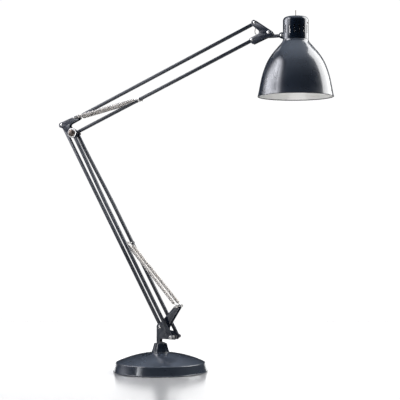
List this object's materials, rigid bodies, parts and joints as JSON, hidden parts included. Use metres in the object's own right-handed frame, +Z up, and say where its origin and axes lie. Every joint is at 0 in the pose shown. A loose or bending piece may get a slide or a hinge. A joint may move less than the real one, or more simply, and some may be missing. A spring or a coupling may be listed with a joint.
{
  "type": "architect desk lamp",
  "caption": "Spring-balanced desk lamp: domed round base, swivelling two-part parallelogram arm of square tubes, and a bell-shaped metal shade that tilts.",
  "frame": {"origin": "centre of the base's underside, on the surface the lamp stands on", "axes": "+Z up; the arm lies in the XZ plane and the shade is on the +X side; +Y to the back"},
  "size_m": [0.6853, 0.216, 0.8018],
  "materials": {
    "pad_rubber": "matte",
    "cast_iron": "as cast",
    "base_paint": "high-gloss black paint",
    "navy_paint": "gloss navy-black paint",
    "dark_steel": "dark zinc plate",
    "nickel": "polished nickel plate",
    "spring_steel": "bright spring wire",
    "tube_paint": "gloss navy-black paint",
    "wire_sleeve": "matte sleeve",
    "shade_paint": "gloss navy-black paint outside, white inside",
    "holder_plastic": "moulded",
    "bulb_glass": "frosted",
    "switch_plastic": "moulded"
  },
  "bodies": {
    "base": {"base_pad": "pad_rubber", "base_weight": "cast_iron", "base_cover": "base_paint", "hub_cone": "navy_paint"},
    "bracket": {"arm_bracket": "navy_paint", "swivel_spigot": "dark_steel", "parallel_rod_pin": "nickel", "lower_spring_axle": "nickel", "main_axle": "nickel", "main_axle_nut": "dark_steel", "axle_spacer_front": "nickel", "axle_spacer_back": "nickel", "lower_spring_front": "spring_steel", "lower_spring_back": "spring_steel"},
    "lower_arm": {"lower_tube_front": "tube_paint", "lower_tube_back": "tube_paint", "lower_anchor_pin": "nickel", "lower_anchor_nut": "dark_steel", "elbow_washer_front": "nickel", "elbow_washer_back": "dark_steel", "elbow_bolt": "dark_steel", "elbow_nut": "dark_steel"},
    "lower_parallel": {"lower_parallel_tube": "tube_paint"},
    "elbow": {"elbow_plate_front": "navy_paint", "elbow_plate_back": "navy_paint", "elbow_link_pin": "nickel", "upper_spring_axle": "nickel", "upper_spring_front": "spring_steel", "upper_spring_back": "spring_steel"},
    "upper_arm": {"upper_arm_tube": "tube_paint", "upper_spring_clip": "nickel", "upper_anchor_pin": "nickel"},
    "upper_parallel": {"upper_parallel_tube": "tube_paint"},
    "head": {"head_plate_front": "navy_paint", "head_plate_back": "navy_paint", "head_pin_lower": "nickel", "head_pin_upper": "nickel", "stem_pin": "nickel", "wire_loop": "wire_sleeve"},
    "stem": {"head_stem": "navy_paint"},
    "shade_unit": {"shade_lug": "navy_paint", "shade_pin": "nickel", "cap": "shade_paint", "cap_screw": "nickel", "inner_frame": "dark_steel", "shade": "shade_paint", "lampholder": "holder_plastic", "lampholder_ring": "holder_plastic", "bulb": "bulb_glass", "switch_body": "switch_plastic"},
    "toggle": {"toggle_lever": "nickel"}
  },
  "joints": [
    {"name": "base_swivel", "type": "hinge", "parent": "base", "child": "bracket", "pos_m": [0, 0, 0.065], "axis": [0, 0, 1], "continuous": true},
    {"name": "lower_arm_tilt", "type": "hinge", "parent": "bracket", "child": "lower_arm", "pos_m": [0.0365, 0, 0.0813], "axis": [0, 1, 0], "range_deg": [-16, 30], "deforming": ["lower_spring_front", "lower_spring_back"]},
    {"name": "lower_parallel_tilt", "type": "hinge", "parent": "bracket", "child": "lower_parallel", "pos_m": [0.0015, 0, 0.1027], "axis": [0, 1, 0], "range_deg": [-16, 30]},
    {"name": "elbow_level", "type": "hinge", "parent": "lower_arm", "child": "elbow", "pos_m": [-0.2292, 0, 0.5532], "axis": [0, 1, 0], "range_deg": [-30, 16]},
    {"name": "upper_arm_tilt", "type": "hinge", "parent": "elbow", "child": "upper_arm", "pos_m": [-0.2292, 0, 0.5532], "axis": [0, 1, 0], "range_deg": [-35, 45], "deforming": ["upper_spring_front", "upper_spring_back"]},
    {"name": "upper_parallel_tilt", "type": "hinge", "parent": "elbow", "child": "upper_parallel", "pos_m": [-0.2232, 0, 0.5902], "axis": [0, 1, 0], "range_deg": [-35, 45]},
    {"name": "head_level", "type": "hinge", "parent": "upper_arm", "child": "head", "pos_m": [0.2305, 0, 0.7444], "axis": [0, 1, 0], "range_deg": [-45, 35]},
    {"name": "stem_tilt", "type": "hinge", "parent": "head", "child": "stem", "pos_m": [0.2697, 0, 0.7578], "axis": [0, 1, 0], "range_deg": [-15, 15]},
    {"name": "shade_tilt", "type": "hinge", "parent": "stem", "child": "shade_unit", "pos_m": [0.3, 0, 0.749], "axis": [0, 1, 0], "range_deg": [-45, 30]},
    {"name": "toggle_tilt", "type": "hinge", "parent": "shade_unit", "child": "toggle", "pos_m": [0.3316, 0, 0.785], "axis": [0, 1, 0], "range_deg": [-12, 12]}
  ],
  "couplings": [
    {"joint": "lower_parallel_tilt", "follows": "lower_arm_tilt", "ratio": 1},
    {"joint": "elbow_level", "follows": "lower_arm_tilt", "ratio": -1},
    {"joint": "upper_parallel_tilt", "follows": "upper_arm_tilt", "ratio": 1},
    {"joint": "head_level", "follows": "upper_arm_tilt", "ratio": -1}
  ]
}
